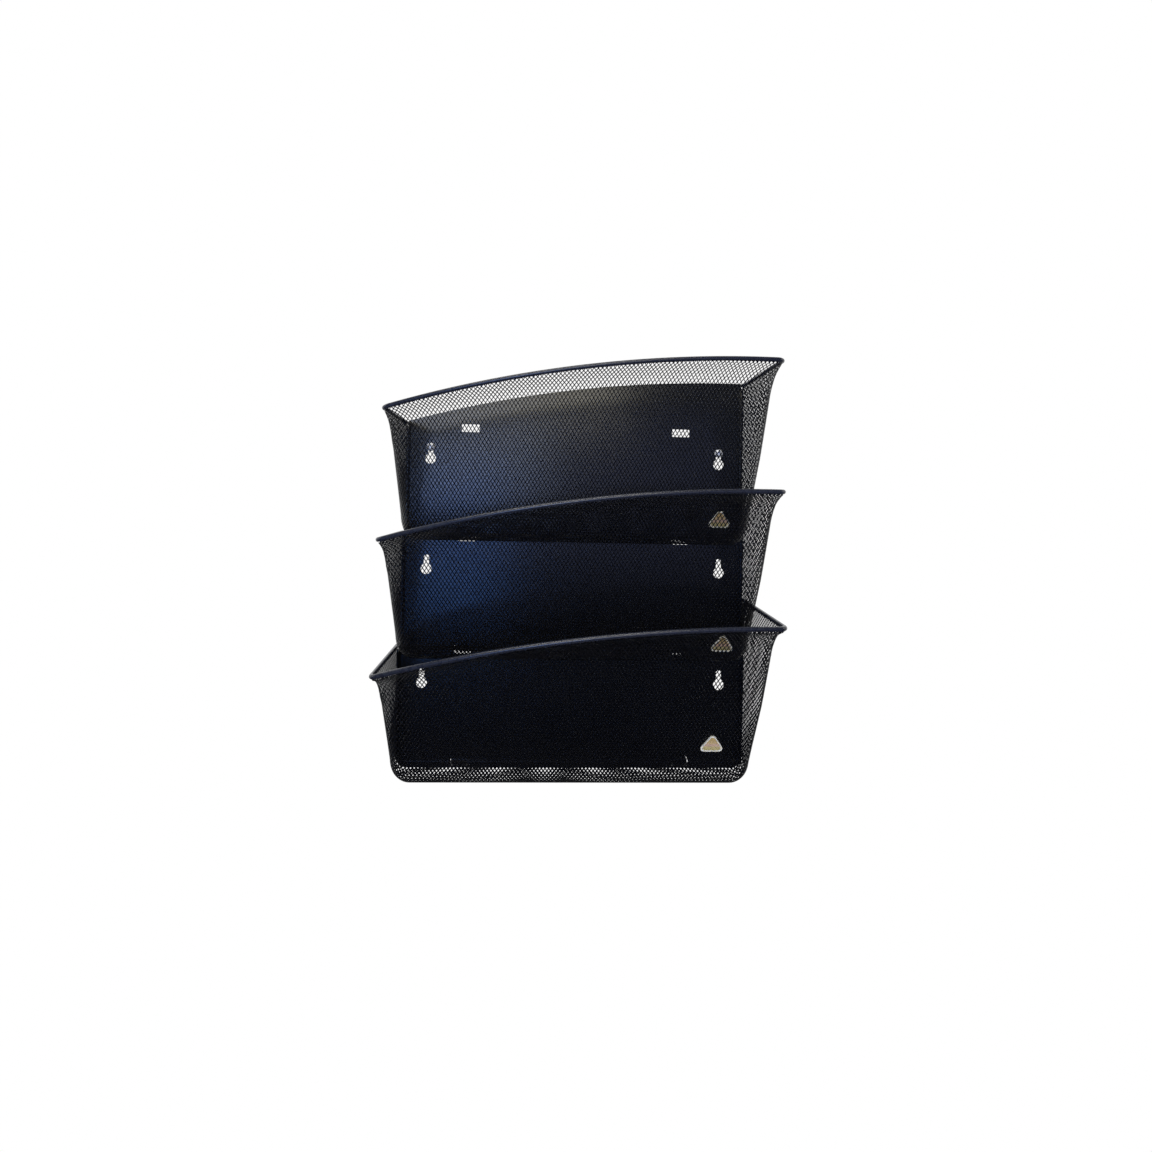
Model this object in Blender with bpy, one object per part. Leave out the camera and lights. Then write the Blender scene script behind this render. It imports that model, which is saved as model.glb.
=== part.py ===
"""A wall-hung stack of three mesh letter trays.

Each tray is a sheet-steel back panel, a basket of expanded mesh folded round
its front, floor and sides, and a rim wire along the basket's mouth. The upper
tray hangs on two wall screws by keyholes. Each tray below hooks its two slots
over the two tongues at the foot of the tray above.

Frame: origin on the wall plane, midway between the two screws; +X to the
right, -Y out of the wall, +Z up. The mesh is modelled here as a thin closed
sheet of the basket's outer shape.
"""

import math

import bmesh
import bpy
from mathutils import Matrix, Vector, geometry

# ---------------------------------------------------------------- dimensions
# All in millimetres. "Depth" is measured forward from a tray's panel face,
# heights from the tray's base line.
MM = 0.001
GAP = 0.3  # clearance kept between separate pieces

TRAY_PITCH = 112.0  # vertical step from tray to tray
PANEL_T = 0.8  # back panel sheet
NEST_STEP = PANEL_T + GAP  # each panel hangs this far behind the one above
LOWEST_PANEL_Y = 3.0  # lower tray's panel face, out from the wall

SIDE_X = 172.6  # half width of the basket at the panel's foot
SIDE_GROW = 0.024  # widening per mm of height
SIDE_TAPER = 0.044  # narrowing per mm of depth, high up
FOOT_TAPER, FOOT_FADE = 0.15, 42.0  # what the foot adds to it, and over what height that fades

MESH_T = 1.0  # basket sheet
FLOOR_Z = -2.0  # underside of the floor where it meets the panel
FLOOR_SLOPE = 0.168  # fall of the floor per mm of depth
SCOOP_R = 30.0  # bend from the floor into the front wall
SCOOP_D = 20.9  # depth of the bend's centre
LEAN = 0.40  # forward lean of the front wall per mm of height
BOW = 3.0  # how far the front wall's ends lie behind its middle
BOW_HALF = 170.0
EVEN_Z = 80.0  # height up to which the rows of the front wall are level
FLARE_H = 28.0  # band under the rim over which the wall flares out
FLARE_OUT = 17.0  # how far it flares

ARCH_TOP = 162.7  # height of the rim's highest point
ARCH_X = 159.5  # where that point is
ARCH_R = 1176.0  # radius of the rim's and the panel's top edge

RIM_R = 1.5  # rim wire
RIM_DROP = 2.0  # wire centre below the arch
RIM_CORNER = 7.0  # bend radius of the wire in plan
RIM_OUT = 0.5  # wire centre behind the sheet's outer face at the front

FLANGE = 5.0  # depth of the panel's folded edge
CORNER_R = 12.0  # bottom corner of the basket at the panel

KEY_X, KEY_Z, KEY_R = 150.0, 76.0, 5.5  # keyhole's round part
KEY_NECK, KEY_TOP = 2.65, 90.2  # neck's half width and top
SLOT_X, SLOT_W, SLOT_H, SLOT_TOP = 110.0, 18.5, 8.0, 112.3
TONGUE_W, TONGUE_R, TONGUE_BACK = 16.4, 8.2, 2.2  # tongue and its set-back
WINDOW_R = 8.5
WINDOW_Z = 0.1

SCREW_R, HEAD_R, HEAD_H, SCREW_LEN = 2.0, 4.5, 2.6, 30.0
SCREW_Z = KEY_TOP - GAP - SCREW_R  # screw axis above the upper tray's base
PLUG_R, PLUG_LEN = 3.0, 24.0

BADGE_W, BADGE_H, BADGE_T = 20.0, 17.0, 1.6
BADGES = {"upper": (135.1, 22.0), "middle": (137.9, 19.0), "lower": (125.2, 46.0)}

# ------------------------------------------------------------ derived shape
LEAN_A = math.atan(LEAN)
SCOOP_Z = FLOOR_Z + SCOOP_R * math.hypot(1.0, FLOOR_SLOPE) - FLOOR_SLOPE * SCOOP_D
FLOOR_A = math.atan(FLOOR_SLOPE)
WALL_D = SCOOP_D + SCOOP_R * math.cos(LEAN_A)
WALL_Z = SCOOP_Z - SCOOP_R * math.sin(LEAN_A)
SHEET_TOP = RIM_DROP + RIM_R + GAP + MESH_T  # sheet's edge below the arch


def arch(x):
    """Height of the rim and of the panel's top edge at x."""
    return ARCH_TOP - (ARCH_R - math.sqrt(ARCH_R**2 - (x - ARCH_X) ** 2))


def taper(z):
    return SIDE_TAPER + FOOT_TAPER * math.exp(-z / FOOT_FADE)


def side_x(depth, z):
    """Half width of the basket's outer face."""
    return SIDE_X + SIDE_GROW * z - taper(z) * depth


def side_rise(depth, z):
    """How fast that half width grows with height."""
    return SIDE_GROW + FOOT_TAPER / FOOT_FADE * math.exp(-z / FOOT_FADE) * depth


def bow(x, z):
    return BOW * (x / BOW_HALF) ** 2 * min(max(z / 140.0, 0.0), 1.2)


def flare(h):
    """Outward flare at fraction h of the band under the rim."""
    lip = max(0.0, (h - 0.6) / 0.4)
    return FLARE_OUT * (0.62 * h * h + 0.38 * lip * lip)


def wall_depth(x, z, h=0.0):
    return WALL_D + LEAN * (z - WALL_Z) + flare(h) - bow(x, z)


# ------------------------------------------------------------- small helpers
def point(x, depth, z):
    return Vector((x * MM, -depth * MM, z * MM))


def material(name, colour, roughness, metallic):
    found = bpy.data.materials.get(name)
    if found:
        return found
    made = bpy.data.materials.new(name)
    made.use_nodes = True
    shader = made.node_tree.nodes["Principled BSDF"]
    shader.inputs["Base Color"].default_value = (*colour, 1.0)
    shader.inputs["Roughness"].default_value = roughness
    shader.inputs["Metallic"].default_value = metallic
    return made


def powder_black():
    return material("powder_black", (0.012, 0.013, 0.017), 0.32, 0.0)


def add_object(name, mesh, parent, mat, smooth=None):
    obj = bpy.data.objects.new(name, mesh)
    bpy.context.scene.collection.objects.link(obj)
    obj.parent = parent
    if mat:
        mesh.materials.append(mat)
    if smooth:
        mesh.shade_smooth()
        mesh.set_sharp_from_angle(angle=math.radians(smooth))
    return obj


def helper(name, mesh, parent):
    obj = add_object(name, mesh, parent, None)
    obj.hide_render = True
    obj.display_type = "WIRE"
    return obj


def close_mesh(name, bm):
    bmesh.ops.recalc_face_normals(bm, faces=bm.faces)
    mesh = bpy.data.meshes.new(name)
    bm.to_mesh(mesh)
    bm.free()
    return mesh


def add_prism(bm, outline, depth_a, depth_b):
    """A closed prism of an (x, z) outline between two depths."""
    near = [bm.verts.new(point(x, depth_b, z)) for x, z in outline]
    far = [bm.verts.new(point(x, depth_a, z)) for x, z in outline]
    bm.faces.new(near)
    bm.faces.new(far[::-1])
    for i in range(len(outline)):
        j = (i + 1) % len(outline)
        bm.faces.new((near[j], near[i], far[i], far[j]))


def arc_points(cx, cz, r, start, end, steps):
    angles = [math.radians(start + (end - start) * i / steps) for i in range(steps + 1)]
    return [(cx + r * math.cos(a), cz + r * math.sin(a)) for a in angles]


# --------------------------------------------------------------- mesh basket
class Row:
    """One row of the basket's sheet, from the floor's back edge to the rim."""

    def __init__(self, tilt, radius, level=None, fraction=None, h=None):
        self.tilt, self.radius = tilt, radius
        self.level, self.fraction, self.h = level, fraction, h

    def height(self, x):
        if self.level:
            return self.level[1]
        low = arch(x) - FLARE_H
        if self.h is None:
            return EVEN_Z + self.fraction * (low - EVEN_Z)
        return low + self.h * (FLARE_H - SHEET_TOP)

    def front(self, x):
        """Depth and height of the sheet's outer face at x."""
        z = self.height(x)
        if self.level:
            return self.level[0] - bow(x, z), z
        return wall_depth(x, z, self.h or 0.0), z


def basket_rows():
    rows = []
    tangent_d = SCOOP_D - SCOOP_R * math.sin(FLOOR_A)
    for i, radius in enumerate((CORNER_R, 13.0)):
        d = tangent_d * i / 2
        rows.append(Row(0.0, radius, level=(d, FLOOR_Z - FLOOR_SLOPE * d)))
    start, end, steps = -FLOOR_A, math.pi / 2 - LEAN_A, 7
    for i in range(steps + 1):
        a = start + (end - start) * i / steps
        radius = 14.0 + 7.0 * min(1.0, 2.0 * i / steps)
        spot = (SCOOP_D + SCOOP_R * math.sin(a), SCOOP_Z - SCOOP_R * math.cos(a))
        rows.append(Row(max(0.0, a), radius, level=spot))
    for z, radius in ((45.0, 17.0), (EVEN_Z, 12.5)):
        share = (z - WALL_Z) / (EVEN_Z - WALL_Z)
        tilt = end + (math.pi / 2 - end) * share
        rows.append(Row(tilt, radius, level=(WALL_D + LEAN * (z - WALL_Z), z)))
    for h in (0.0, 0.35, 0.6, 0.75, 0.88, 1.0):
        rows.append(Row(math.pi / 2, 11.0 - 3.0 * h, h=h))
    return rows


CORNER_STEPS = 4
FRONT_STEPS = 12
SIDE_STEP = 17.0  # spacing of the points inside a side


def corner_of(row, sign):
    """The rounded corner between the front sheet and a side, front to side."""
    radius = row.radius
    x = side_x(60.0, 60.0) - radius
    for _ in range(6):
        depth, z = row.front(sign * x)
        a = side_x(depth, z)
        b = side_rise(depth, z) * math.cos(row.tilt) + taper(z) * math.sin(row.tilt)
        x = a + b * radius - radius * math.hypot(1.0, b)
    depth, z = row.front(sign * x)
    last = math.atan(-b)
    found = []
    for i in range(CORNER_STEPS + 1):
        turn = -math.pi / 2 + (last + math.pi / 2) * i / CORNER_STEPS
        px = x + radius * math.cos(turn)
        inward = radius + radius * math.sin(turn)
        pd = depth - inward * math.sin(row.tilt)
        pz = z + inward * math.cos(row.tilt)
        if not row.level:
            pz = row.height(sign * px)
        found.append((sign * px, pd, pz))
    return found


def side_top(sign, depth):
    """A point on a side's top edge, under the rim wire."""
    z = ARCH_TOP
    for _ in range(6):
        x = side_x(depth, z)
        z = arch(sign * x) - SHEET_TOP
    return (sign * x, depth, z)


def add_side(bm, sign, edge):
    """The side's sheet, from the rounded corner's edge back to the panel."""
    start = -edge[-1].co.y / MM
    for i in range(1, 4):
        edge.append(bm.verts.new(point(*side_top(sign, start * (1.0 - i / 3)))))
    foot, top = edge[0].co.z / MM, edge[-1].co.z / MM
    steps = 9
    for i in range(1, steps):
        z = top + (foot - top) * i / steps
        edge.append(bm.verts.new(point(sign * side_x(0.0, z), 0.0, z)))
    loop = [Vector((-v.co.y / MM, v.co.z / MM)) for v in edge]
    flat, verts = list(loop), list(edge)
    for i in range(9):
        z = foot + 6.0 + SIDE_STEP * i
        for depth in (6.0, 6.0 + SIDE_STEP, 6.0 + 2 * SIDE_STEP, 6.0 + 3 * SIDE_STEP, 6.0 + 4 * SIDE_STEP):
            spot = Vector((depth, z))
            if within(spot, loop) and edge_distance(spot, loop) > 5.0:
                flat.append(spot)
                verts.append(bm.verts.new(point(sign * side_x(depth, z), depth, z)))
    bounds = [(i, (i + 1) % len(loop)) for i in range(len(loop))]
    _, _, faces, *_ = geometry.delaunay_2d_cdt(flat, bounds, [], 1, 1e-6)
    for face in faces:
        corners = [verts[i] for i in face]
        bm.faces.new(corners if sign < 0 else corners[::-1])


def edge_distance(spot, loop):
    found = []
    for a, b in zip(loop, loop[1:] + loop[:1]):
        _, share = geometry.intersect_point_line(spot, a, b)
        near = a.lerp(b, min(max(share, 0.0), 1.0))
        found.append((near - spot).length)
    return min(found)


def within(spot, loop):
    odd = False
    for a, b in zip(loop, loop[1:] + loop[:1]):
        if (a.y > spot.y) != (b.y > spot.y):
            if spot.x < (b.x - a.x) * (spot.y - a.y) / (b.y - a.y) + a.x:
                odd = not odd
    return odd


def basket_mesh(name):
    bm = bmesh.new()
    grid = []
    for row in basket_rows():
        left, right = corner_of(row, -1.0), corner_of(row, 1.0)
        x0, x1 = left[0][0], right[0][0]
        across = [x0 + (x1 - x0) * i / FRONT_STEPS for i in range(1, FRONT_STEPS)]
        line = left[::-1] + [(x, *row.front(x)) for x in across] + right
        grid.append([bm.verts.new(point(*p)) for p in line])
    for low, high in zip(grid, grid[1:]):
        for j in range(len(low) - 1):
            bm.faces.new((low[j], low[j + 1], high[j + 1], high[j]))
    for sign, column in ((-1.0, 0), (1.0, -1)):
        add_side(bm, sign, [line[column] for line in grid])
    bmesh.ops.triangulate(bm, faces=bm.faces)
    mesh = bpy.data.meshes.new(name)
    bm.to_mesh(mesh)
    bm.free()
    return mesh


def make_basket(name, parent):
    obj = add_object(name, basket_mesh(name), parent, powder_black(), smooth=35)
    sheet = obj.modifiers.new("sheet thickness", "SOLIDIFY")
    sheet.thickness = MESH_T * MM
    sheet.offset = -1.0
    sheet.use_even_offset = True
    sheet.use_rim = True
    return obj


# ---------------------------------------------------------------- back panel
def panel_u(depth, inset):
    """The panel's edge from the left flange's top round the foot to the right's, as (x, z)."""
    z0 = FLOOR_Z - FLOOR_SLOPE * depth
    a, b = side_x(depth, z0), side_rise(depth, z0)
    cx = a + b * CORNER_R - CORNER_R * math.hypot(1.0, b)
    last = math.degrees(math.atan(-b))
    right = arc_points(cx, z0 + CORNER_R, CORNER_R - inset, -90.0, last, CORNER_STEPS)
    left = [(-x, z) for x, z in right[::-1]]

    def top(sign):
        z = arch(sign * side_x(0.0, ARCH_TOP)) - SHEET_TOP - 3.0
        return (sign * (side_x(depth, z) - inset * math.hypot(1.0, b)), z)

    return [top(-1.0), *left, *right, top(1.0)]


def panel_mesh(name):
    bm = bmesh.new()
    outer, inner = MESH_T + GAP, MESH_T + GAP + PANEL_T
    lower = panel_u(0.0, outer)
    ends = []
    for sign in (1.0, -1.0):
        z = ARCH_TOP
        for _ in range(6):
            x = side_x(0.0, z) - outer
            z = arch(sign * x)
        ends.append((sign * x, z))
    (x1, _), (x0, _) = ends
    steps = 28
    xs = [x1 + (x0 - x1) * i / steps for i in range(steps + 1)]
    whole = lower + [(x, arch(x)) for x in xs]
    back = [bm.verts.new(point(x, -PANEL_T, z)) for x, z in whole]
    face = [bm.verts.new(point(x, 0.0, z)) for x, z in whole]
    n = len(lower)
    inside = [bm.verts.new(point(x, 0.0, z)) for x, z in panel_u(0.0, inner)]
    lip_out = [bm.verts.new(point(x, FLANGE, z)) for x, z in panel_u(FLANGE, outer)]
    lip_in = [bm.verts.new(point(x, FLANGE, z)) for x, z in panel_u(FLANGE, inner)]
    bm.faces.new(back)
    bm.faces.new([face[0], *inside, face[n - 1], *face[n:]])
    for i in range(len(whole)):
        j = (i + 1) % len(whole)
        bm.faces.new((back[i], back[j], face[j], face[i]))
    for i in range(n - 1):
        bm.faces.new((face[i], face[i + 1], lip_out[i + 1], lip_out[i]))
        bm.faces.new((lip_out[i], lip_out[i + 1], lip_in[i + 1], lip_in[i]))
        bm.faces.new((lip_in[i], lip_in[i + 1], inside[i + 1], inside[i]))
    for i in (0, n - 1):
        bm.faces.new((face[i], lip_out[i], lip_in[i], inside[i]))
    return close_mesh(name, bm)


def keyhole_outline(cx):
    half = math.degrees(math.asin(KEY_NECK / KEY_R))
    neck = KEY_TOP - KEY_NECK
    body = arc_points(cx, KEY_Z, KEY_R, 90.0 + half, 450.0 - half, 16)
    return body + arc_points(cx, neck, KEY_NECK, 0.0, 180.0, 6)


def slot_outline(cx):
    r, found = 1.2, []
    x0, x1 = cx - SLOT_W / 2 + r, cx + SLOT_W / 2 - r
    z0, z1 = SLOT_TOP - SLOT_H + r, SLOT_TOP - r
    for i, (x, z) in enumerate(((x1, z0), (x1, z1), (x0, z1), (x0, z0))):
        found += arc_points(x, z, r, -90.0 + 90.0 * i, 90.0 * i, 2)
    return found


def window_outline(cx):
    top = arc_points(cx, WINDOW_Z + 0.6, WINDOW_R, 0.0, 180.0, 12)
    return [(cx - WINDOW_R, WINDOW_Z), (cx + WINDOW_R, WINDOW_Z), *top]


def add_tongue(bm, cx):
    """A tab joggled back from the panel's foot, open at its top."""
    low, shelf, half = -0.6, 0.0, TONGUE_W / 2
    far, near, root = -TONGUE_BACK - PANEL_T, -TONGUE_BACK, -0.4
    curve = arc_points(cx, 0.5, TONGUE_R, 0.0, 180.0, 12)
    outline = [(cx - half, shelf), (cx - half, low), (cx + half, low), (cx + half, shelf)]
    outline += curve
    back = [bm.verts.new(point(x, far, z)) for x, z in outline]
    front = [bm.verts.new(point(x, near, z)) for x, z in outline]
    step = [bm.verts.new(point(x, root, z)) for x, z in outline[:4]]
    bm.faces.new(back)
    bm.faces.new([front[0], front[3], *front[4:]])
    for i in range(3, len(outline)):
        j = (i + 1) % len(outline)
        bm.faces.new((back[i], back[j], front[j], front[i]))
    for i in range(3):
        bm.faces.new((back[i], back[i + 1], front[i + 1], front[i]))
        bm.faces.new((front[i], front[i + 1], step[i + 1], step[i]))
    bm.faces.new((front[3], front[0], step[0], step[3]))
    bm.faces.new(step)


def make_panel(name, parent):
    obj = add_object(name, panel_mesh(name), parent, powder_black(), smooth=35)
    bm = bmesh.new()
    for sign in (-1.0, 1.0):
        add_prism(bm, keyhole_outline(sign * KEY_X), -PANEL_T - 2.0, 2.0)
        add_prism(bm, slot_outline(sign * SLOT_X), -PANEL_T - 2.0, 2.0)
        add_prism(bm, window_outline(sign * SLOT_X), -PANEL_T - 2.0, 2.0)
    holes = helper(name + "_holes", close_mesh(name + "_holes", bm), parent)
    bm = bmesh.new()
    for sign in (-1.0, 1.0):
        add_tongue(bm, sign * SLOT_X)
    tabs = helper(name + "_tabs", close_mesh(name + "_tabs", bm), parent)
    for title, kind, other in (("holes", "DIFFERENCE", holes), ("tongues", "UNION", tabs)):
        cut = obj.modifiers.new(title, "BOOLEAN")
        cut.operation = kind
        cut.object = other
        cut.solver = "EXACT"
    return obj


# ------------------------------------------------------------------ rim wire
def rim_points():
    """Centre line of the rim wire, from one end of the panel's top to the other."""

    def front(x):
        z = arch(x) - SHEET_TOP
        return wall_depth(x, z, 1.0) - RIM_OUT

    found = []
    for sign in (-1.0, 1.0):
        x = side_x(110.0, 140.0) - RIM_CORNER
        for _ in range(6):
            z = arch(sign * x) - RIM_DROP
            depth = front(sign * x)
            x = side_x(depth, z) + taper(z) * RIM_CORNER - RIM_CORNER * math.hypot(1.0, taper(z))
        last = math.atan(-taper(z))
        half = []
        for i in range(7):
            turn = -math.pi / 2 + (last + math.pi / 2) * i / 6
            px = x + RIM_CORNER * math.cos(turn)
            pd = depth - RIM_CORNER - RIM_CORNER * math.sin(turn)
            half.append((sign * px, pd, arch(sign * px) - RIM_DROP))
        for pd in (half[-1][1] * 0.5, GAP):
            px = half[-1][0]
            for _ in range(4):
                px = sign * side_x(pd, arch(px) - RIM_DROP)
            half.append((px, pd, arch(px) - RIM_DROP))
        found.append(half)
    left, right = found
    x0, x1, steps = left[0][0], right[0][0], 20
    middle = [x0 + (x1 - x0) * i / steps for i in range(1, steps)]
    return (
        left[::-1]
        + [(x, front(x), arch(x) - RIM_DROP) for x in middle]
        + right
    )


def make_rim(name, parent):
    path = rim_points()
    curve = bpy.data.curves.new(name, "CURVE")
    curve.dimensions = "3D"
    curve.bevel_depth = RIM_R * MM
    curve.bevel_resolution = 2
    curve.use_fill_caps = True
    line = curve.splines.new("POLY")
    line.points.add(len(path) - 1)
    for slot, spot in zip(line.points, path):
        slot.co = (*point(*spot), 1.0)
    curve.materials.append(powder_black())
    obj = bpy.data.objects.new(name, curve)
    bpy.context.scene.collection.objects.link(obj)
    obj.parent = parent
    return obj


# ------------------------------------------------------------ badge and clip
def wall_frame(x, z, stand_off):
    """A frame on the front sheet at (x, z): X along the wall, Y up it, Z out of it."""
    if z >= WALL_Z:
        depth, a = wall_depth(x, z), LEAN_A
    else:
        a = math.asin((SCOOP_Z - z) / SCOOP_R)
        depth = SCOOP_D + SCOOP_R * math.cos(a) - bow(x, z)
    out = Vector((0.0, -math.cos(a), -math.sin(a)))
    up = Vector((0.0, -math.sin(a), math.cos(a)))
    place = Matrix((Vector((1.0, 0.0, 0.0)), up, out)).transposed().to_4x4()
    place.translation = point(x, depth, z) + out * stand_off * MM
    return place


def triangle_outline(width, height, round_r):
    """A rounded triangle with its point up."""
    foot, top = -height / 2 + round_r, height / 2 - round_r
    half = width / 2 - round_r
    slope = math.degrees(math.atan2(top - foot, half))
    found = []
    for (x, y), start, end in (
        ((-half, foot), 90.0 + slope, 270.0),
        ((half, foot), -90.0, 90.0 - slope),
        ((0.0, top), 90.0 - slope, 90.0 + slope),
    ):
        found += arc_points(x, y, round_r, start, end, 6)
    return found


def plate_mesh(name, outline, thickness, edge):
    """A flat plate with its front edge rounded over."""
    bm = bmesh.new()
    rings = []
    for level, inset in ((0.0, 0.0), (thickness - edge, 0.0), (thickness, edge)):
        ring = []
        for x, y in outline:
            r = math.hypot(x, y)
            share = (r - inset) / r
            ring.append(bm.verts.new(Vector((x * share, y * share, level)) * MM))
        rings.append(ring)
    bm.faces.new(rings[0])
    bm.faces.new(rings[-1])
    for low, high in zip(rings, rings[1:]):
        for i in range(len(low)):
            j = (i + 1) % len(low)
            bm.faces.new((low[i], low[j], high[j], high[i]))
    return close_mesh(name, bm)


def make_badge(prefix, parent):
    x, z = BADGES[prefix]
    name = prefix + "_badge"
    mat = material("badge_enamel", (0.55, 0.42, 0.22), 0.25, 0.3)
    mesh = plate_mesh(name, triangle_outline(BADGE_W, BADGE_H, 3.2), BADGE_T, 0.5)
    badge = add_object(name, mesh, parent, mat, smooth=35)
    badge.matrix_local = wall_frame(x, z, GAP)
    name = prefix + "_badge_clip"
    steel = material("bare_steel", (0.55, 0.55, 0.56), 0.35, 1.0)
    outline = [(-6.0, -3.0), (6.0, -3.0), (6.0, 3.0), (-6.0, 3.0)]
    mesh = plate_mesh(name, outline, 0.6, 0.15)
    clip = add_object(name, mesh, parent, steel)
    clip.matrix_local = wall_frame(x, z, -MESH_T - 2 * GAP - 0.6)


# ------------------------------------------------------------ screws, plugs
def turned_mesh(name, profile, segments, bore=False):
    """A body turned about Y from (radius, y) pairs; with a bore the profile closes on itself."""
    bm = bmesh.new()
    rings = []
    for r, y in profile:
        if r == 0.0:
            rings.append([bm.verts.new(Vector((0.0, y, 0.0)) * MM)])
            continue
        turns = [2 * math.pi * i / segments for i in range(segments)]
        rings.append([bm.verts.new(Vector((r * math.cos(t), y, r * math.sin(t))) * MM) for t in turns])
    pairs = list(zip(rings, rings[1:]))
    if bore:
        pairs.append((rings[-1], rings[0]))
    for a, b in pairs:
        for i in range(segments):
            j = (i + 1) % segments
            if len(a) == 1:
                bm.faces.new((a[0], b[i], b[j]))
            elif len(b) == 1:
                bm.faces.new((a[i], a[j], b[0]))
            else:
                bm.faces.new((a[i], a[j], b[j], b[i]))
    return close_mesh(name, bm)


def make_screw(name, x, parent):
    under = -(LOWEST_PANEL_Y + 2 * NEST_STEP + GAP)
    top = under - HEAD_H
    profile = [
        (0.0, top),
        (HEAD_R * 0.55, top + 0.12 * HEAD_H),
        (HEAD_R * 0.86, top + 0.38 * HEAD_H),
        (HEAD_R, top + 0.8 * HEAD_H),
        (HEAD_R, under),
        (SCREW_R, under),
        (SCREW_R, under + SCREW_LEN - 4.0),
        (0.0, under + SCREW_LEN),
    ]
    zinc = material("zinc_plate", (0.62, 0.63, 0.64), 0.3, 1.0)
    obj = add_object(name, turned_mesh(name, profile, 20), parent, zinc, smooth=35)
    obj.location = (x * MM, 0.0, 0.0)
    bm = bmesh.new()
    for half_x, half_z in ((2.2, 0.5), (0.5, 2.2)):
        corners = [(-half_x, -half_z), (half_x, -half_z), (half_x, half_z), (-half_x, half_z)]
        add_prism(bm, corners, -top - 1.3, -top + 1.0)
    cross = helper(name + "_recess", close_mesh(name + "_recess", bm), parent)
    cross.location = obj.location
    cut = obj.modifiers.new("cross recess", "BOOLEAN")
    cut.operation = "DIFFERENCE"
    cut.object = cross
    cut.solver = "EXACT"
    cut.use_self = True
    return obj


def make_plug(name, x, parent):
    bore = SCREW_R + GAP
    profile = [(bore, GAP), (PLUG_R + 0.6, GAP), (PLUG_R + 0.6, 1.3)]
    y = 1.3
    while y + 4.0 < PLUG_LEN:
        profile += [(PLUG_R - 0.2, y + 0.6), (PLUG_R - 0.2, y + 2.0), (PLUG_R + 0.2, y + 3.4)]
        y += 3.8
    profile += [(PLUG_R - 0.3, PLUG_LEN), (bore, PLUG_LEN)]
    grey = material("plug_plastic", (0.42, 0.43, 0.44), 0.5, 0.0)
    obj = add_object(name, turned_mesh(name, profile, 16, bore=True), parent, grey, smooth=35)
    obj.location = (x * MM, 0.0, 0.0)
    return obj


# ------------------------------------------------------------------ assembly
def empty(name, location, parent=None):
    obj = bpy.data.objects.new(name, None)
    bpy.context.scene.collection.objects.link(obj)
    obj.parent = parent
    obj.location = location
    return obj


def main():
    for obj in list(bpy.data.objects):
        bpy.data.objects.remove(obj, do_unlink=True)
    wall = empty("wall_fixings", (0.0, 0.0, 0.0))
    for side, sign in (("left", -1.0), ("right", 1.0)):
        make_screw(side + "_wall_screw", sign * KEY_X, wall)
        make_plug(side + "_wall_plug", sign * KEY_X, wall)
    for step, prefix in enumerate(("upper", "middle", "lower")):
        face = LOWEST_PANEL_Y + (2 - step) * NEST_STEP
        base = -SCREW_Z - step * TRAY_PITCH
        tray = empty(prefix + "_tray", (0.0, -face * MM, base * MM))
        make_panel(prefix + "_back_panel", tray)
        make_basket(prefix + "_mesh_basket", tray)
        make_rim(prefix + "_rim_wire", tray)
        make_badge(prefix, tray)


main()
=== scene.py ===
"""Looks for the wall-hung stack of three mesh letter trays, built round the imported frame."""

import math

import bmesh
import bpy
import numpy as np
from mathutils import Matrix, Vector


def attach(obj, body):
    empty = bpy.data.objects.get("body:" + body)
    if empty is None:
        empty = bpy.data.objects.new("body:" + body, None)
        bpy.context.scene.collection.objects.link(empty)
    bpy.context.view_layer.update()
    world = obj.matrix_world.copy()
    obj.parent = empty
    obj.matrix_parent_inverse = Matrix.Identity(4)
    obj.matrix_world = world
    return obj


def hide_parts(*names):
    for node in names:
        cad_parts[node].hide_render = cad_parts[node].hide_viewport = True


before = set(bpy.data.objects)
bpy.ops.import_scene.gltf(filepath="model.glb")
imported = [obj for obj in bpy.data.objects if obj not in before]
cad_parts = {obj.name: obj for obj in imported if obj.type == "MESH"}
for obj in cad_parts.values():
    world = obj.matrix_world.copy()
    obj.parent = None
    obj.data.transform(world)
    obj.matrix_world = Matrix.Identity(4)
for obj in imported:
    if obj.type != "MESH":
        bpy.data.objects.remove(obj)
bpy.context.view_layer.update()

# ---------------------------------------------------------------- dimensions
# Millimetres, the same design values as the CAD part. Depth is measured
# forward from a tray's panel face, heights from its base line.
MM = 0.001
GAP = 0.3
TRAY_PITCH, PANEL_T = 112.0, 0.8
NEST_STEP, LOWEST_PANEL_Y = PANEL_T + GAP, 3.0
SIDE_X, SIDE_GROW, SIDE_TAPER = 172.6, 0.024, 0.044
FOOT_TAPER, FOOT_FADE = 0.15, 42.0
MESH_T = 1.0
FLOOR_Z, FLOOR_SLOPE = -2.0, 0.168
SCOOP_R, SCOOP_D = 30.0, 20.9
LEAN, BOW, BOW_HALF = 0.40, 3.0, 170.0
EVEN_Z, FLARE_H, FLARE_OUT = 80.0, 28.0, 17.0
ARCH_TOP, ARCH_X, ARCH_R = 162.7, 159.5, 1176.0
RIM_R, RIM_DROP, RIM_CORNER, RIM_OUT = 1.5, 2.0, 7.0, 0.5
SCREW_Z = 90.2 - GAP - 2.0
BADGES = {"upper": (135.1, 22.0), "middle": (137.9, 19.0), "lower": (125.2, 46.0)}

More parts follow.
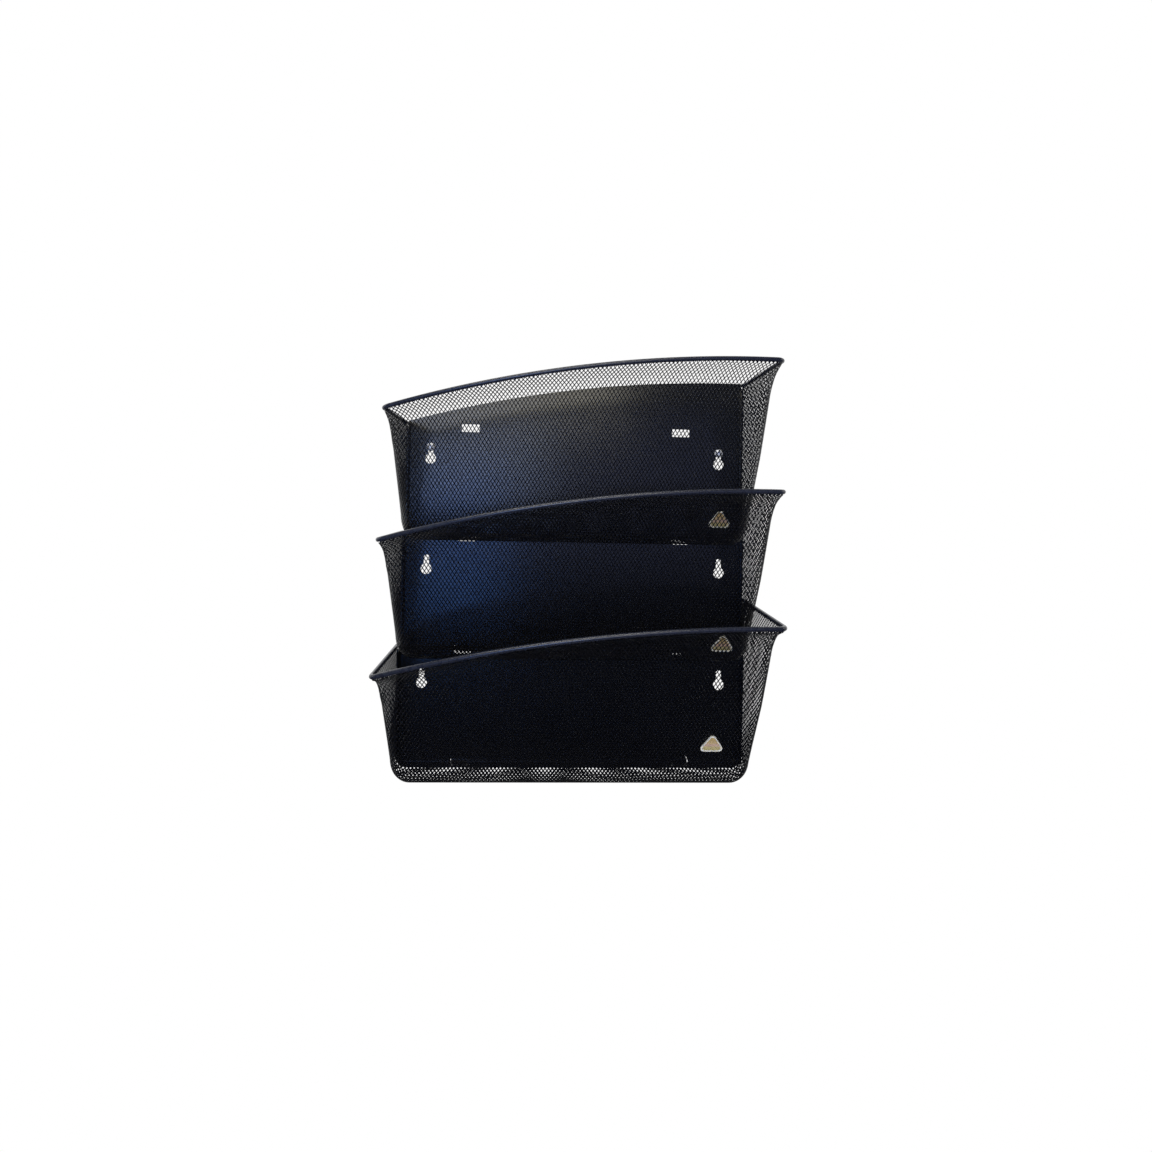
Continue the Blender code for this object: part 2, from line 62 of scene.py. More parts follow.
LEAN_A, FLOOR_A = math.atan(LEAN), math.atan(FLOOR_SLOPE)
SCOOP_Z = FLOOR_Z + SCOOP_R * math.hypot(1.0, FLOOR_SLOPE) - FLOOR_SLOPE * SCOOP_D
WALL_D = SCOOP_D + SCOOP_R * math.cos(LEAN_A)
WALL_Z = SCOOP_Z - SCOOP_R * math.sin(LEAN_A)
SHEET_TOP = RIM_DROP + RIM_R + GAP + MESH_T
BAND = FLARE_H - SHEET_TOP
ARC_END = math.pi / 2 - LEAN_A

CELL_W, CELL_H = 3.5, 6.2  # one diamond of the mesh
STRAND = 0.70  # width of a strand on the front
FOOT_STRAND = 1.10  # the floor and scoop read denser in the photo
SIDE_STRAND = 0.62
LATTICE_T = 0.42

TRAYS = []
for _step, _name in enumerate(("upper", "middle", "lower")):
    _face = LOWEST_PANEL_Y + (2 - _step) * NEST_STEP
    TRAYS.append((_name, -_face, -SCREW_Z - _step * TRAY_PITCH))


# -------------------------------------------------------- the sheet's surface
def arch(x):
    return ARCH_TOP - (ARCH_R - np.sqrt(ARCH_R**2 - (x - ARCH_X) ** 2))


def taper(z):
    return SIDE_TAPER + FOOT_TAPER * np.exp(-z / FOOT_FADE)


def side_x(depth, z):
    return SIDE_X + SIDE_GROW * z - taper(z) * depth


def side_rise(depth, z):
    return SIDE_GROW + FOOT_TAPER / FOOT_FADE * np.exp(-z / FOOT_FADE) * depth


def bow(x, z):
    return BOW * (x / BOW_HALF) ** 2 * np.clip(z / 140.0, 0.0, 1.2)


def flare(h):
    lip = np.maximum(0.0, (h - 0.6) / 0.4)
    return FLARE_OUT * (0.62 * h * h + 0.38 * lip * lip)


_H = np.linspace(0.0, 1.08, 400)
_DZ = np.diff(_H) * BAND
_DD = LEAN * _DZ + np.diff(flare(np.minimum(_H, 1.0)))
_S = np.concatenate([[0.0], np.cumsum(np.hypot(_DZ, _DD))])
Q_FLOOR = (SCOOP_D - SCOOP_R * math.sin(FLOOR_A)) * math.hypot(1.0, FLOOR_SLOPE)
Q_WALL = Q_FLOOR + SCOOP_R * (FLOOR_A + ARC_END)
TOP_H = 1.065  # the mesh runs up into the rim's hem
BAND_LEN = float(np.interp(TOP_H, _H, _S))


def band_start(x):
    return Q_WALL + (arch(x) - FLARE_H - WALL_Z) / math.cos(LEAN_A)


def q_top(x):
    return band_start(x) + BAND_LEN


def profile(x, q):
    """Depth, height, tilt and corner radius of the front sheet at x and arc length q."""
    floor_d = q / math.hypot(1.0, FLOOR_SLOPE)
    d = floor_d
    z = FLOOR_Z - FLOOR_SLOPE * floor_d
    tilt = np.zeros_like(q)
    share = np.clip(q / Q_FLOOR, 0.0, 1.0)
    radius = 12.0 + 2.0 * share
    a = -FLOOR_A + (q - Q_FLOOR) / SCOOP_R
    on_arc = q > Q_FLOOR
    d = np.where(on_arc, SCOOP_D + SCOOP_R * np.sin(a), d)
    z = np.where(on_arc, SCOOP_Z - SCOOP_R * np.cos(a), z)
    tilt = np.where(on_arc, np.maximum(0.0, a), tilt)
    part = np.clip((a + FLOOR_A) / (FLOOR_A + ARC_END), 0.0, 1.0)
    radius = np.where(on_arc, 14.0 + 7.0 * np.minimum(1.0, 2.0 * part), radius)
    on_wall = q > Q_WALL
    start = band_start(x)
    h = np.interp(q - start, _S, _H)
    low = arch(x) - FLARE_H
    zw = np.where(q > start, low + h * BAND, WALL_Z + (q - Q_WALL) * math.cos(LEAN_A))
    h = np.where(q > start, h, 0.0)
    dw = WALL_D + LEAN * (zw - WALL_Z) + flare(np.minimum(h, 1.0))
    up = np.clip((zw - WALL_Z) / (EVEN_Z - WALL_Z), 0.0, 1.0)
    rw = np.interp(zw, [WALL_Z, 45.0, EVEN_Z], [21.0, 17.0, 12.5])
    above = np.clip((zw - EVEN_Z) / np.maximum(low - EVEN_Z, 1.0), 0.0, 1.0)
    rw = np.where(zw > EVEN_Z, 12.5 - 1.5 * above - 3.0 * np.minimum(h, 1.0), rw)
    d = np.where(on_wall, dw, d)
    z = np.where(on_wall, zw, z)
    tilt = np.where(on_wall, ARC_END + (math.pi / 2 - ARC_END) * up, tilt)
    radius = np.where(on_wall, rw, radius)
    return d - bow(x, z), z, tilt, radius


def corner(sign, q):
    """Where the corner's bend starts, and what it turns through, at arc length q."""
    x = np.full_like(q, 150.0)
    for _ in range(8):
        d, z, tilt, radius = profile(sign * x, q)
        b = side_rise(d, z) * np.cos(tilt) + taper(z) * np.sin(tilt)
        x = side_x(d, z) + b * radius - radius * np.hypot(1.0, b)
    d, z, tilt, radius = profile(sign * x, q)
    return x, d, z, tilt, radius, np.arctan(-b) + math.pi / 2


def edge_u(sign, q):
    x, _, _, _, radius, turn = corner(sign, q)
    return x + radius * turn


def front_point(u, q):
    """The outer face of the front, floor and corners, in the tray's own frame."""
    sign = np.where(u < 0, -1.0, 1.0)
    x, d, z, tilt, radius, turn = corner(sign, q)
    bent = np.clip((np.abs(u) - x) / radius, 0.0, turn)
    fd, fz, _, _ = profile(u, q)
    px = x + radius * np.sin(bent)
    inward = radius * (1.0 - np.cos(bent))
    pd = d - inward * np.sin(tilt)
    pz = z + inward * np.cos(tilt)
    lift = np.clip((z - EVEN_Z) / np.maximum(arch(sign * x) - FLARE_H - EVEN_Z, 1.0), 0.0, 1.0)
    pz = pz + lift * (arch(sign * px) - arch(sign * x))
    flat = np.abs(u) <= x
    out = np.where(flat, u, sign * px), np.where(flat, fd, pd), np.where(flat, fz, pz)
    return np.stack(out, axis=-1)


def to_world(points, face_y, base_z):
    """(x, depth, z) in millimetres to metres in the model's frame."""
    out = np.empty_like(points)
    out[..., 0] = points[..., 0]
    out[..., 1] = face_y - points[..., 1]
    out[..., 2] = base_z + points[..., 2]
    return out * MM


# ------------------------------------------------------------- mesh building
def object_from(name, verts, faces, smooth_angle=None):
    mesh = bpy.data.meshes.new(name)
    if isinstance(faces, np.ndarray):
        count, width = faces.shape
        mesh.vertices.add(len(verts))
        mesh.vertices.foreach_set("co", np.asarray(verts, np.float32).ravel())
        mesh.loops.add(count * width)
        mesh.loops.foreach_set("vertex_index", faces.astype(np.int32).ravel())
        mesh.polygons.add(count)
        mesh.polygons.foreach_set("loop_start", np.arange(0, count * width, width, dtype=np.int32))
        mesh.update(calc_edges=True)
        mesh.validate()
    else:
        mesh.from_pydata([tuple(v) for v in verts], [], faces)
        mesh.update()
    obj = bpy.data.objects.new(name, mesh)
    bpy.context.scene.collection.objects.link(obj)
    if smooth_angle:
        mesh.shade_smooth()
        mesh.set_sharp_from_angle(angle=math.radians(smooth_angle))
    return obj


def lattice(index, corners, place, strand):
    """Strands round every diamond. index holds each cell's four shared corner
    numbers, corners their flat coordinates, place maps flat to 3-D, strand gives
    the strand's width at each cell's centre."""
    quad = corners[index]
    rolled = np.roll(quad, -1, axis=1)
    cross = quad[..., 0] * rolled[..., 1] - quad[..., 1] * rolled[..., 0]
    area = np.abs(cross.sum(1)) / 2
    around = np.linalg.norm(rolled - quad, axis=2).sum(1)
    keep = area > 0.25
    index, quad, area, around = index[keep], quad[keep], area[keep], around[keep]
    share = np.clip(1.0 - strand(quad.mean(axis=1)) / 2 / (2 * area / around), 0.12, 0.9)
    centre = quad.mean(axis=1, keepdims=True)
    hole = centre + (quad - centre) * share[:, None, None]
    used, index = np.unique(index, return_inverse=True)
    index = index.reshape(-1, 4)
    flat = np.concatenate([corners[used], hole.reshape(-1, 2)])
    outer, normal = place(flat)
    inner = outer - normal * LATTICE_T
    n, m = len(flat), len(used)
    verts = np.concatenate([outer, inner])
    h = m + np.arange(len(index) * 4).reshape(-1, 4)
    faces = []
    for i in range(4):
        j = (i + 1) % 4
        faces.append(np.stack([index[:, i], index[:, j], h[:, j], h[:, i]], 1))
        faces.append(np.stack([index[:, j] + n, index[:, i] + n, h[:, i] + n, h[:, j] + n], 1))
        faces.append(np.stack([h[:, i], h[:, j], h[:, j] + n, h[:, i] + n], 1))
    ends = np.concatenate([index[:, [i, (i + 1) % 4]] for i in range(4)])
    key = np.sort(ends, axis=1)
    _, first, count = np.unique(key, axis=0, return_index=True, return_counts=True)
    rim = ends[first[count == 1]]
    rim = rim[rim[:, 0] != rim[:, 1]]
    faces.append(np.stack([rim[:, 1], rim[:, 0], rim[:, 0] + n, rim[:, 1] + n], 1))
    return verts, np.concatenate(faces)


def surface_normals(fn, a, b, step=0.2):
    da = fn(a + step, b) - fn(a - step, b)
    db = fn(a, b + step) - fn(a, b - step)
    n = np.cross(da, db)
    return n / np.maximum(np.linalg.norm(n, axis=1, keepdims=True), 1e-9)


def front_lattice():
    """The front, scoop, floor and corners of one basket, in the tray's frame."""
    cols = int(400 / CELL_W) // 2 * 2
    rows = int(240 / (CELL_H / 2))
    ii, jj = np.meshgrid(np.arange(-cols, cols + 1), np.arange(-1, rows + 1), indexing="ij")
    u = ii * CELL_W / 2
    q = jj * CELL_H / 2
    shape = u.shape
    u, q = u.ravel().astype(float), q.ravel().astype(float)
    qc = np.clip(q, 0.0, None)
    for _ in range(3):
        sign = np.where(u < 0, -1.0, 1.0)
        lim = edge_u(sign, qc)
        uc = np.clip(u, -lim, lim)
        xc = np.clip(uc, -168.0, 168.0)
        qc = np.minimum(np.clip(q, 0.0, None), q_top(xc))
    corners = np.stack([uc, qc], 1)
    number = np.arange(len(u)).reshape(shape)
    i0, j0 = np.meshgrid(np.arange(1, shape[0] - 1), np.arange(1, shape[1] - 1), indexing="ij")
    odd = ((i0 + j0) % 2) == 0
    i0, j0 = i0[odd], j0[odd]
    index = np.stack([number[i0 + 1, j0], number[i0, j0 + 1], number[i0 - 1, j0], number[i0, j0 - 1]], 1)

    def place(flat):
        fn = lambda a, b: front_point(a, b)
        p = fn(flat[:, 0], flat[:, 1])
        n = surface_normals(fn, flat[:, 0], np.maximum(flat[:, 1], 0.21))
        # x right, depth forward, z up: flip so that the normal points out of the basket
        centre = np.array([0.0, 30.0, 60.0])
        wrong = ((p - centre) * n).sum(1) < 0
        n[wrong] *= -1
        return p, n

    def strand(centres):
        return np.interp(centres[:, 1], [Q_WALL - 4.0, Q_WALL + 22.0], [FOOT_STRAND, STRAND])

    return lattice(index, corners, place, strand)


def side_outline(sign):
    """The flat side's edge as (depth, z): round the corner's end, back along the top, down the back."""
    q = np.linspace(0.0, Q_WALL + 190.0, 400)
    x, d, z, tilt, radius, turn = corner(np.full_like(q, sign), q)
    lim = q_top(sign * np.minimum(x + radius, 168.0))
    q = np.linspace(0.0, float(np.interp(0.0, (q - lim), q)), 200)
    x, d, z, tilt, radius, turn = corner(np.full_like(q, sign), q)
    p = front_point(sign * (x + radius * turn), q)
    edge = p[:, 1:3]
    d_last = edge[-1, 0]
    back = []
    for d in np.linspace(d_last, 0.0, 24)[1:]:
        z = ARCH_TOP
        for _ in range(6):
            z = arch(sign * side_x(d, z)) - SHEET_TOP + 0.9
        back.append((d, z))
    return np.concatenate([edge, np.array(back)])


def inside(points, loop):
    x, y = points[:, 0:1], points[:, 1:2]
    a, b = loop, np.roll(loop, -1, axis=0)
    crosses = (a[:, 1] > y) != (b[:, 1] > y)
    with np.errstate(divide="ignore", invalid="ignore"):
        at = (b[:, 0] - a[:, 0]) * (y - a[:, 1]) / (b[:, 1] - a[:, 1]) + a[:, 0]
    return (np.where(crosses, x < at, False).sum(1) % 2) == 1


def nearest_on(points, loop):
    a, b = loop, np.roll(loop, -1, axis=0)
    ab = b - a
    t = ((points[:, None] - a) * ab).sum(2) / np.maximum((ab * ab).sum(1), 1e-12)
    spot = a + np.clip(t, 0.0, 1.0)[..., None] * ab
    best = ((spot - points[:, None]) ** 2).sum(2).argmin(1)
    return spot[np.arange(len(points)), best]


def side_lattice(sign):
    loop = side_outline(sign)
    up = np.array([math.sin(LEAN_A), math.cos(LEAN_A)])
    back = np.array([-math.cos(LEAN_A), math.sin(LEAN_A)])
    origin = np.array([WALL_D, WALL_Z])
    ii, jj = np.meshgrid(np.arange(-40, 120), np.arange(-40, 90), indexing="ij")
    shape = ii.shape
    shift = (Q_WALL / (CELL_H / 2)) % 1.0
    a = ii.ravel() * CELL_W / 2
    b = (jj.ravel() - shift) * CELL_H / 2
    points = origin + a[:, None] * back + b[:, None] * up
    ok = inside(points, loop)
    moved = points.copy()
    moved[~ok] = nearest_on(points[~ok], loop)
    number = np.arange(len(points)).reshape(shape)
    i0, j0 = np.meshgrid(np.arange(1, shape[0] - 1), np.arange(1, shape[1] - 1), indexing="ij")
    odd = ((i0 + j0) % 2) == 0
    i0, j0 = i0[odd], j0[odd]
    index = np.stack([number[i0 + 1, j0], number[i0, j0 + 1], number[i0 - 1, j0], number[i0, j0 - 1]], 1)
    any_in = ok[index].any(axis=1)
    index = index[any_in]
    if sign > 0:
        index = index[:, ::-1]

    def place(flat):
        d, z = flat[:, 0], flat[:, 1]
        p = np.stack([sign * side_x(d, z), d, z], 1)
        n = np.stack([np.full_like(d, sign), taper(z), -side_rise(d, z)], 1)
        return p, n / np.linalg.norm(n, axis=1, keepdims=True)

    return lattice(index, moved, place, lambda centres: SIDE_STRAND)


# ----------------------------------------------------------------- materials
def new_material(name):
    mat = bpy.data.materials.new(name)
    mat.use_nodes = True
    tree = mat.node_tree
    return mat, tree, tree.nodes["Principled BSDF"]


def noise(tree, scale, detail=2.0, rough=0.5):
    coord = tree.nodes.new("ShaderNodeTexCoord")
    tex = tree.nodes.new("ShaderNodeTexNoise")
    tex.inputs["Scale"].default_value = scale
    tex.inputs["Detail"].default_value = detail
    tex.inputs["Roughness"].default_value = rough
    tree.links.new(coord.outputs["Object"], tex.inputs["Vector"])
    return tex


def ramp(tree, source, stops):
    node = tree.nodes.new("ShaderNodeValToRGB")
    elements = node.color_ramp.elements
    while len(elements) > len(stops):
        elements.remove(elements[-1])
    while len(elements) < len(stops):
        elements.new(0.5)
    for element, (at, colour) in zip(elements, stops):
        element.position = at
        element.color = (*colour, 1.0) if len(colour) == 3 else colour
    tree.links.new(source, node.inputs["Fac"])
    return node


def map_range(tree, source, low, high):
    node = tree.nodes.new("ShaderNodeMapRange")
    node.inputs["To Min"].default_value = low
    node.inputs["To Max"].default_value = high
    tree.links.new(source, node.inputs["Value"])
    return node.outputs["Result"]


def bump(tree, shader, source, strength, distance):
    node = tree.nodes.new("ShaderNodeBump")
    node.inputs["Strength"].default_value = strength
    node.inputs["Distance"].default_value = distance
    tree.links.new(source, node.inputs["Height"])
    tree.links.new(node.outputs["Normal"], shader.inputs["Normal"])


def powder_coat(name, base, lighter, rough, peel):
    """Baked-on powder: faint orange peel, slightly uneven gloss and colour."""
    mat, tree, shader = new_material(name)
    cloud = noise(tree, 22.0, 3.0)
    colour = ramp(tree, cloud.outputs["Fac"], ((0.30, base), (0.75, lighter)))
    tree.links.new(colour.outputs["Color"], shader.inputs["Base Color"])
    fine = noise(tree, 260.0, 2.0)
    tree.links.new(map_range(tree, fine.outputs["Fac"], rough - 0.05, rough + 0.06), shader.inputs["Roughness"])
    grain = noise(tree, 900.0, 1.0)
    bump(tree, shader, grain.outputs["Fac"], peel, 0.00012)
    shader.inputs["IOR"].default_value = 1.5
    return mat


PANEL = powder_coat("panel_powder_coat", (0.0045, 0.0048, 0.006), (0.0065, 0.007, 0.009), 0.2, 0.10)
MESH = powder_coat("mesh_powder_coat", (0.0035, 0.0035, 0.005), (0.006, 0.006, 0.008), 0.30, 0.12)
RIM = powder_coat("rim_powder_coat", (0.012, 0.014, 0.024), (0.02, 0.023, 0.036), 0.27, 0.10)


def metal(name, base, lighter, rough, scale, stretch, metallic=1.0):
    mat, tree, shader = new_material(name)
    tex = noise(tree, scale, 4.0, 0.6)
    mapping = tree.nodes.new("ShaderNodeMapping")
    mapping.inputs["Scale"].default_value = stretch
    coord = tree.nodes.new("ShaderNodeTexCoord")
    tree.links.new(coord.outputs["Object"], mapping.inputs["Vector"])
    tree.links.new(mapping.outputs["Vector"], tex.inputs["Vector"])
    colour = ramp(tree, tex.outputs["Fac"], ((0.3, base), (0.7, lighter)))
    tree.links.new(colour.outputs["Color"], shader.inputs["Base Color"])
    tree.links.new(map_range(tree, tex.outputs["Fac"], rough - 0.08, rough + 0.1), shader.inputs["Roughness"])
    shader.inputs["Metallic"].default_value = metallic
    bump(tree, shader, tex.outputs["Fac"], 0.15, 0.0001)
    return mat


# the plating's chalky film scatters light
ZINC = metal("zinc_plate", (0.60, 0.61, 0.64), (0.80, 0.81, 0.84), 0.40, 900.0, (1.0, 0.4, 1.0), 0.45)
STEEL = metal("clip_steel", (0.42, 0.42, 0.43), (0.62, 0.62, 0.63), 0.32, 700.0, (0.1, 1.0, 1.0))


def plastic():
    mat, tree, shader = new_material("plug_nylon")
    tex = noise(tree, 320.0, 3.0)
    colour = ramp(tree, tex.outputs["Fac"], ((0.3, (0.30, 0.31, 0.32)), (0.7, (0.38, 0.39, 0.40))))
    tree.links.new(colour.outputs["Color"], shader.inputs["Base Color"])
    tree.links.new(map_range(tree, tex.outputs["Fac"], 0.42, 0.56), shader.inputs["Roughness"])
    bump(tree, shader, tex.outputs["Fac"], 0.2, 0.0001)
    return mat


def badge_border():
    mat, tree, shader = new_material("badge_border")
    tex = noise(tree, 500.0, 3.0)
    colour = ramp(tree, tex.outputs["Fac"], ((0.3, (0.66, 0.62, 0.50)), (0.7, (0.80, 0.77, 0.66))))
    tree.links.new(colour.outputs["Color"], shader.inputs["Base Color"])
    tree.links.new(map_range(tree, tex.outputs["Fac"], 0.28, 0.40), shader.inputs["Roughness"])
    bump(tree, shader, tex.outputs["Fac"], 0.1, 0.0001)
    return mat


def badge_face(height):
    """Enamel in three soft bands, bottom to top."""
    mat, tree, shader = new_material("badge_enamel")
    attr = tree.nodes.new("ShaderNodeAttribute")
    attr.attribute_name = "rise"
    tex = noise(tree, 420.0, 3.0)
    mix = tree.nodes.new("ShaderNodeMath")
    mix.operation = "MULTIPLY_ADD"
    mix.inputs[1].default_value = 0.14
    tree.links.new(tex.outputs["Fac"], mix.inputs[0])
    tree.links.new(attr.outputs["Fac"], mix.inputs[2])
    colour = ramp(
        tree,
        mix.outputs["Value"],
        (
            (0.10, (0.40, 0.34, 0.13)),
            (0.36, (0.47, 0.38, 0.17)),
            (0.50, (0.55, 0.36, 0.27)),
            (0.66, (0.52, 0.37, 0.17)),
            (1.0, (0.40, 0.27, 0.09)),
        ),
    )
    tree.links.new(colour.outputs["Color"], shader.inputs["Base Color"])
    tree.links.new(map_range(tree, tex.outputs["Fac"], 0.2, 0.32), shader.inputs["Roughness"])
    shader.inputs["Coat Weight"].default_value = 0.4
    return mat


PLUG, BORDER, ENAMEL = plastic(), badge_border(), badge_face(17.0)


def dress(obj, mat):
    obj.data.materials.clear()
    obj.data.materials.append(mat)


# -------------------------------------------------------------------- baskets
FRONT = front_lattice()
SIDES = {sign: side_lattice(sign) for sign in (-1.0, 1.0)}


def make_baskets():
    for name, face_y, base_z in TRAYS:
        for title, (verts, faces) in (("front_mesh", FRONT), ("left_side_mesh", SIDES[-1.0]), ("right_side_mesh", SIDES[1.0])):
            obj = object_from(f"{name}_{title}", to_world(verts, face_y, base_z), faces)
            bm = bmesh.new()
            bm.from_mesh(obj.data)
            bmesh.ops.recalc_face_normals(bm, faces=bm.faces)
            bm.to_mesh(obj.data)
            bm.free()
            dress(obj, MESH)
            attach(obj, name + "_tray")
            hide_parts(name + "_mesh_basket")


# ------------------------------------------------------------ rear seam strips
def rear_edge(depth, inward):
    """The basket's section at a depth near the panel, left top round the foot to right top, as (x, z)."""
    z0 = FLOOR_Z - FLOOR_SLOPE * depth
    b = side_rise(depth, z0)
    cx = side_x(depth, z0) + b * 12.0 - 12.0 * math.hypot(1.0, b)
    half = []
    for turn in np.linspace(-math.pi / 2, math.atan(-b), 9):
        half.append((cx + (12.0 - inward) * math.cos(turn), z0 + 12.0 + (12.0 - inward) * math.sin(turn)))
    foot = half[-1][1]
    tops = {}
    for sign in (-1.0, 1.0):
        top = float(arch(sign * side_x(depth, 150.0))) - SHEET_TOP - 0.2
        tops[sign] = [(side_x(depth, z) - inward, z) for z in np.linspace(foot, top, 12)[1:]]
    right = half + tops[1.0]
    left = half + tops[-1.0]
    return np.array([(-x, z) for x, z in left[::-1]] + right)


def make_seams():
    """The folded strip along the mesh's rear edge, welded to the panel's flange."""
    levels = []
    for inward in (0.5, 1.24):
        for depth in (-0.7, 5.25):
            edge = rear_edge(depth, inward)
            levels.append(np.stack([edge[:, 0], np.full(len(edge), depth), edge[:, 1]], 1))
    a, b, c, d = levels  # outer back, outer front, inner back, inner front
    n = len(a)
    verts = np.concatenate([a, b, d, c])
    faces = []
    for i in range(n - 1):
        for k in range(4):
            m = (k + 1) % 4
            faces.append((k * n + i, k * n + i + 1, m * n + i + 1, m * n + i))
    faces += [(0, n, 2 * n, 3 * n), (n - 1, 4 * n - 1, 3 * n - 1, 2 * n - 1)]
    for name, face_y, base_z in TRAYS:
        obj = object_from(f"{name}_rear_seam", to_world(verts, face_y, base_z), faces, 35)
        bm = bmesh.new()
        bm.from_mesh(obj.data)
        bmesh.ops.recalc_face_normals(bm, faces=bm.faces)
        bm.to_mesh(obj.data)
        bm.free()
        dress(obj, MESH)
        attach(obj, name + "_tray")
        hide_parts(name + "_mesh_basket")


# ----------------------------------------------------------------- rim hems
def rim_path():
    """Centre line of the rim, one end of the panel's top to the other, finely spaced."""

    def front(x):
        z = arch(x) - SHEET_TOP
        return WALL_D + LEAN * (z - WALL_Z) + flare(1.0) - bow(x, z) - RIM_OUT

    halves = []
    for sign in (-1.0, 1.0):
        x = side_x(110.0, 140.0) - RIM_CORNER
        for _ in range(8):
            z = arch(sign * x) - RIM_DROP
            depth = front(sign * x)
            x = side_x(depth, z) + taper(z) * RIM_CORNER - RIM_CORNER * math.hypot(1.0, taper(z))
        last = math.atan(-taper(z))
        half = []
        for i in range(15):
            turn = -math.pi / 2 + (last + math.pi / 2) * i / 14
            px = x + RIM_CORNER * math.cos(turn)
            pd = depth - RIM_CORNER - RIM_CORNER * math.sin(turn)
            half.append((sign * px, pd, arch(sign * px) - RIM_DROP))
        px, start = half[-1][0], half[-1][1]
        for i in range(1, 13):
            pd = start + (GAP + 0.2 - start) * i / 12
            for _ in range(4):
                px = sign * side_x(pd, arch(px) - RIM_DROP)
            half.append((px, pd, arch(px) - RIM_DROP))
        halves.append(half)
    left, right = halves
    xs = np.linspace(left[0][0], right[0][0], 90)[1:-1]
    middle = [(x, front(x), arch(x) - RIM_DROP) for x in xs]
    return np.array(left[::-1] + middle + right, float)


def sweep(path, section, closed_ends=True):
    """A tube of a (outward, upward) section along a path in the tray's frame."""
    tangent = np.gradient(path, axis=0)
    tangent /= np.linalg.norm(tangent, axis=1, keepdims=True)
    rise = np.array([0.0, 0.0, 1.0])
    out = np.cross(tangent, rise)
    out /= np.linalg.norm(out, axis=1, keepdims=True)
    high = np.cross(out, tangent)
    verts = path[:, None] + section[None, :, 0:1] * out[:, None] + section[None, :, 1:2] * high[:, None]
    n, m = len(path), len(section)
    faces = []
    for i in range(n - 1):
        for j in range(m):
            k = (j + 1) % m
            faces.append((i * m + j, i * m + k, (i + 1) * m + k, (i + 1) * m + j))
    if closed_ends:
        faces.append(tuple(range(m)))
        faces.append(tuple(range((n - 1) * m, n * m))[::-1])
    return verts.reshape(-1, 3), faces


def make_rims():
    path = rim_path()
    turns = np.linspace(0.0, 2 * math.pi, 20, endpoint=False)
    ring = np.stack([2.0 * np.cos(turns), 2.0 * np.sin(turns)], 1)
    for name, face_y, base_z in TRAYS:
        verts, faces = sweep(path, ring)
        obj = object_from(f"{name}_rim_hem", to_world(verts, face_y, base_z), faces, 40)
        bm = bmesh.new()
        bm.from_mesh(obj.data)
        bmesh.ops.recalc_face_normals(bm, faces=bm.faces)
        bm.to_mesh(obj.data)
        bm.free()
        dress(obj, RIM)
        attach(obj, name + "_tray")
        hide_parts(name + "_rim_wire")


# --------------------------------------------------------------------- badges
def badge_outline(width, height, r, steps=10):
    foot, top, half = -height / 2 + r, height / 2 - r, width / 2 - r
    slope = math.degrees(math.atan2(top - foot, half))
    found = []
    for (x, y), a, b in (((-half, foot), 90.0 + slope, 270.0), ((half, foot), -90.0, 90.0 - slope), ((0.0, top), 90.0 - slope, 90.0 + slope)):
        for i in range(steps + 1):
            t = math.radians(a + (b - a) * i / steps)
            found.append((x + r * math.cos(t), y + r * math.sin(t)))
    return np.array(found)


def badge_frame(x, z, stand_off, face_y, base_z):
    if z >= WALL_Z:
        depth, a = WALL_D + LEAN * (z - WALL_Z) - float(bow(x, z)), LEAN_A
    else:
        a = math.asin((SCOOP_Z - z) / SCOOP_R)
        depth = SCOOP_D + SCOOP_R * math.cos(a) - float(bow(x, z))
    out = Vector((0.0, -math.cos(a), -math.sin(a)))
    up = Vector((0.0, -math.sin(a), math.cos(a)))
    place = Matrix((Vector((1.0, 0.0, 0.0)), up, out)).transposed().to_4x4()
    place.translation = Vector((x, face_y - depth, base_z + z)) * MM + out * stand_off * MM
    return place


def rings_mesh(name, rings, frame_matrix, close_top=True, close_bottom=True):
    bm = bmesh.new()
    rise = []
    loops = []
    for outline, level in rings:
        loops.append([bm.verts.new(frame_matrix @ (Vector((x, y, level)) * MM)) for x, y in outline])
        rise += [(y + 8.5) / 17.0 for _, y in outline]
    for low, high in zip(loops, loops[1:]):
        for i in range(len(low)):
            j = (i + 1) % len(low)
            bm.faces.new((low[i], low[j], high[j], high[i]))
    if close_bottom:
        bm.faces.new(loops[0][::-1])
    if close_top:
        bm.faces.new(loops[-1])
    bmesh.ops.recalc_face_normals(bm, faces=bm.faces)
    mesh = bpy.data.meshes.new(name)
    bm.to_mesh(mesh)
    bm.free()
    layer = mesh.attributes.new("rise", "FLOAT", "POINT")
    layer.data.foreach_set("value", rise)
    obj = bpy.data.objects.new(name, mesh)
    bpy.context.scene.collection.objects.link(obj)
    mesh.shade_smooth()
    mesh.set_sharp_from_angle(angle=math.radians(35))
    return obj


